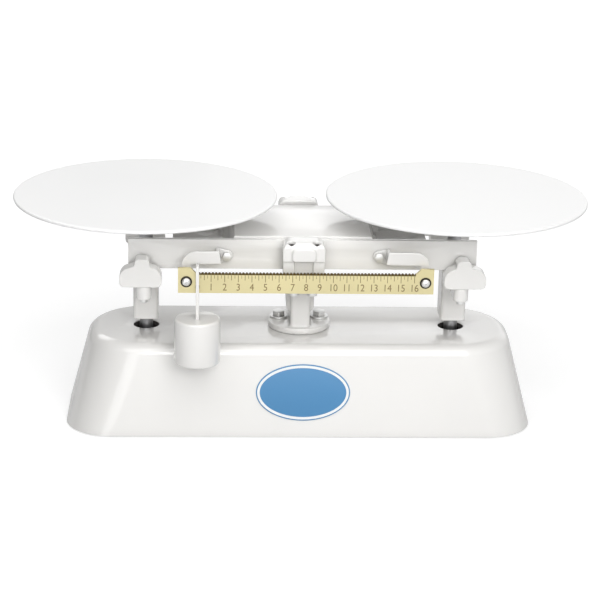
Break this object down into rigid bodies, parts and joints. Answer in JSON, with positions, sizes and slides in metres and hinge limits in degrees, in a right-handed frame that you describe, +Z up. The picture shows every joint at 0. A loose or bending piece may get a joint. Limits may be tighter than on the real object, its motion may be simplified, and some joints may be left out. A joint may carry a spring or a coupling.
{
  "type": "even-arm dough scale",
  "caption": "Even-arm counter scale: a rocking beam on knife edges carries two round plates over a flared cast base, with a poise sliding on a notched brass bar in front.",
  "frame": {"origin": "on the bench under the centre knife edge, at the middle of the bounding box", "axes": "+X along the beam to the right plate, -Y towards the poise bar and the user, +Z up"},
  "size_m": [0.4998, 0.2286, 0.201],
  "materials": {
    "white_enamel": "gloss white baked enamel",
    "white_plate": "satin white enamel",
    "zinc": "bright zinc plate",
    "hard_steel": "ground, hardened",
    "brass": "satin, engraved marks filled dark",
    "black_rubber": "matt",
    "blue_badge": "printed blue, white ring, no words"
  },
  "bodies": {
    "base": {"base_shell": "white_enamel", "rubber_feet": "black_rubber", "foot_screws": "zinc", "front_badge": "blue_badge", "centre_stand": "white_enamel", "stand_bolts": "zinc", "stand_washers": "zinc", "stand_nuts": "zinc", "link_hanger": "zinc", "hanger_pin": "hard_steel", "front_bearing_bracket": "white_enamel", "rear_bearing_bracket": "white_enamel", "bracket_screws": "zinc", "centre_bearings": "hard_steel", "front_bearing_cap": "white_enamel", "rear_bearing_cap": "white_enamel", "cap_screws": "hard_steel"},
    "beam": {"beam_front_bar": "white_enamel", "beam_rear_bar": "white_enamel", "beam_bridge": "white_enamel", "beam_bolts": "zinc", "centre_knife": "hard_steel", "end_knives": "hard_steel", "left_bar_bracket": "white_enamel", "right_bar_bracket": "white_enamel", "bar_spacers": "white_enamel", "poise_bar": "brass", "bar_screws": "zinc", "bar_nuts": "zinc"},
    "check_bar": {"check_bar": "zinc"},
    "left_bearer": {"left_bearer": "white_enamel", "left_front_wing": "white_enamel", "left_rear_wing": "white_enamel", "left_wing_screws": "zinc", "left_bearings": "hard_steel", "left_spindle": "hard_steel", "left_set_screw": "hard_steel", "left_link_pin": "hard_steel", "left_spider": "white_enamel", "left_spider_screw": "zinc"},
    "right_bearer": {"right_bearer": "white_enamel", "right_front_wing": "white_enamel", "right_rear_wing": "white_enamel", "right_wing_screws": "zinc", "right_bearings": "hard_steel", "right_spindle": "hard_steel", "right_set_screw": "hard_steel", "right_link_pin": "hard_steel", "right_spider": "white_enamel", "right_spider_screw": "zinc", "right_ballast": "hard_steel"},
    "left_plate": {"left_plate": "white_plate"},
    "right_plate": {"right_plate": "white_plate"},
    "poise": {"poise_hanger": "white_enamel", "poise_weight": "white_enamel", "poise_pin": "zinc", "poise_plug": "zinc"}
  },
  "joints": [
    {"name": "beam_tilt", "type": "hinge", "parent": "base", "child": "beam", "pos_m": [0, 0, 0.157], "axis": [0, 1, 0], "range_deg": [-2.4, 2.4]},
    {"name": "check_bar_tilt", "type": "hinge", "parent": "base", "child": "check_bar", "pos_m": [0, 0, 0.034], "axis": [0, 1, 0], "range_deg": [-2.5, 2.5]},
    {"name": "left_bearer_swing", "type": "hinge", "parent": "beam", "child": "left_bearer", "pos_m": [-0.1356, 0, 0.157], "axis": [0, 1, 0], "range_deg": [-2.5, 2.5]},
    {"name": "right_bearer_swing", "type": "hinge", "parent": "beam", "child": "right_bearer", "pos_m": [0.1356, 0, 0.157], "axis": [0, 1, 0], "range_deg": [-2.5, 2.5]},
    {"name": "poise_slide", "type": "slide", "parent": "beam", "child": "poise", "axis": [1, 0, 0], "range_m": [0, 0.183]},
    {"name": "left_plate_lift", "type": "slide", "parent": "left_bearer", "child": "left_plate", "axis": [0, 0, 1], "range_m": [0, 0.03]},
    {"name": "right_plate_lift", "type": "slide", "parent": "right_bearer", "child": "right_plate", "axis": [0, 0, 1], "range_m": [0, 0.03]}
  ],
  "couplings": [
    {"joint": "check_bar_tilt", "follows": "beam_tilt", "ratio": 1},
    {"joint": "left_bearer_swing", "follows": "beam_tilt", "ratio": -1},
    {"joint": "right_bearer_swing", "follows": "beam_tilt", "ratio": -1}
  ]
}
